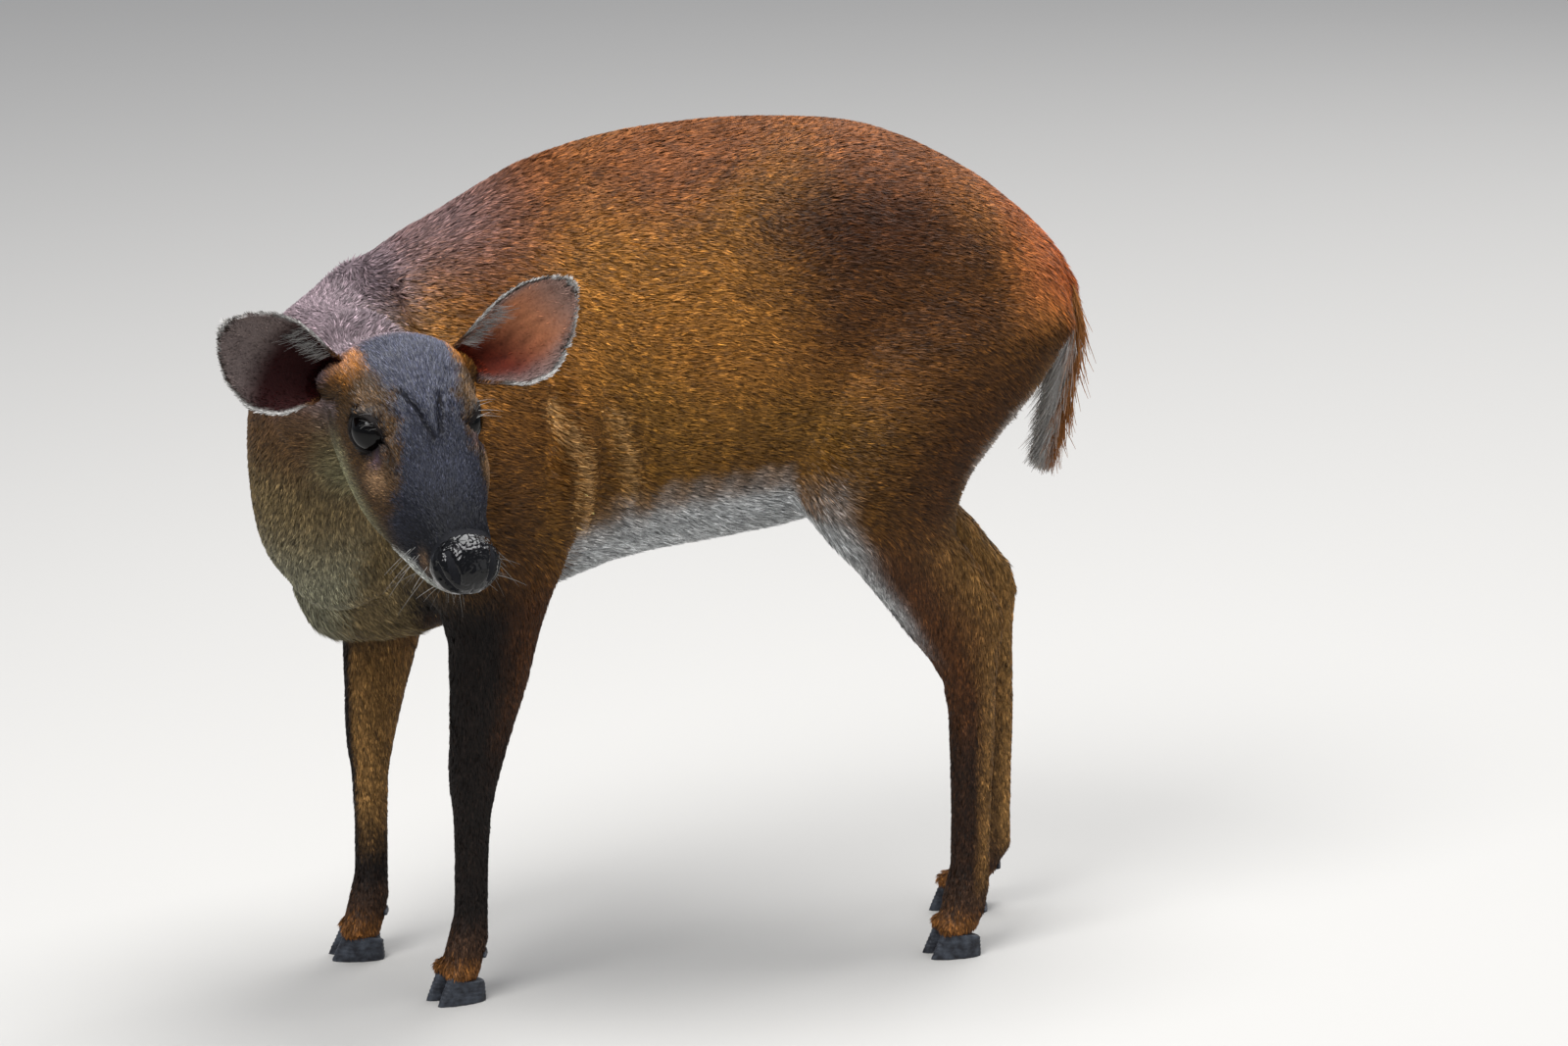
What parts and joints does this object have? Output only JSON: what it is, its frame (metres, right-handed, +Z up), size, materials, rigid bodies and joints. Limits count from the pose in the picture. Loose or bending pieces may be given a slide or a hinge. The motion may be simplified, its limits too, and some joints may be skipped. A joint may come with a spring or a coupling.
{
  "type": "muntjac",
  "caption": "Life-size model of a small female forest deer that stands on its hooves with an arched back and its head turned to its left.",
  "frame": {"origin": "on the floor under the centre of the bounding box", "axes": "+Z up; the animal's body faces -X, its left side and its turned head face -Y"},
  "size_m": [0.5852, 0.3516, 0.5279],
  "materials": {
    "coat_chestnut": "short glossy fur, chestnut with fine dark ticking",
    "coat_olive": "short fur, olive brown",
    "coat_dark": "very short dark brown fur",
    "coat_mask": "very short slate grey fur",
    "ear_skin": "thin skin, bare and pink inside, furred outside",
    "nose_leather": "wet, black and pebbled",
    "eye_gloss": "wet and glossy, near black",
    "hoof_horn": "worn grey horn"
  },
  "bodies": {
    "root": {"neck": "coat_olive", "foreleg_left_shoulder": "coat_chestnut", "foreleg_left_forearm": "coat_chestnut", "foreleg_left_cannon": "coat_dark", "foreleg_left_pastern": "coat_chestnut", "foreleg_left_hoof_outer": "hoof_horn", "foreleg_left_dewclaw_outer": "hoof_horn", "foreleg_left_hoof_inner": "hoof_horn", "foreleg_left_dewclaw_inner": "hoof_horn", "foreleg_right_shoulder": "coat_chestnut", "foreleg_right_forearm": "coat_chestnut", "foreleg_right_cannon": "coat_dark", "foreleg_right_pastern": "coat_chestnut", "foreleg_right_hoof_outer": "hoof_horn", "foreleg_right_dewclaw_outer": "hoof_horn", "foreleg_right_hoof_inner": "hoof_horn", "foreleg_right_dewclaw_inner": "hoof_horn", "hindleg_left_thigh": "coat_chestnut", "hindleg_left_shank": "coat_chestnut", "hindleg_left_cannon": "coat_dark", "hindleg_left_pastern": "coat_chestnut", "hindleg_left_hoof_outer": "hoof_horn", "hindleg_left_dewclaw_outer": "hoof_horn", "hindleg_left_hoof_inner": "hoof_horn", "hindleg_left_dewclaw_inner": "hoof_horn", "hindleg_right_thigh": "coat_chestnut", "hindleg_right_shank": "coat_chestnut", "hindleg_right_cannon": "coat_dark", "hindleg_right_pastern": "coat_chestnut", "hindleg_right_hoof_outer": "hoof_horn", "hindleg_right_dewclaw_outer": "hoof_horn", "hindleg_right_hoof_inner": "hoof_horn", "hindleg_right_dewclaw_inner": "hoof_horn", "chest": "coat_chestnut", "loin": "coat_chestnut", "rump": "coat_chestnut", "head": "coat_mask", "jaw": "coat_olive", "nose_pad": "nose_leather", "eye_left": "eye_gloss", "ear_left": "ear_skin", "eye_right": "eye_gloss", "ear_right": "ear_skin", "tail": "coat_chestnut"}
  },
  "joints": []
}
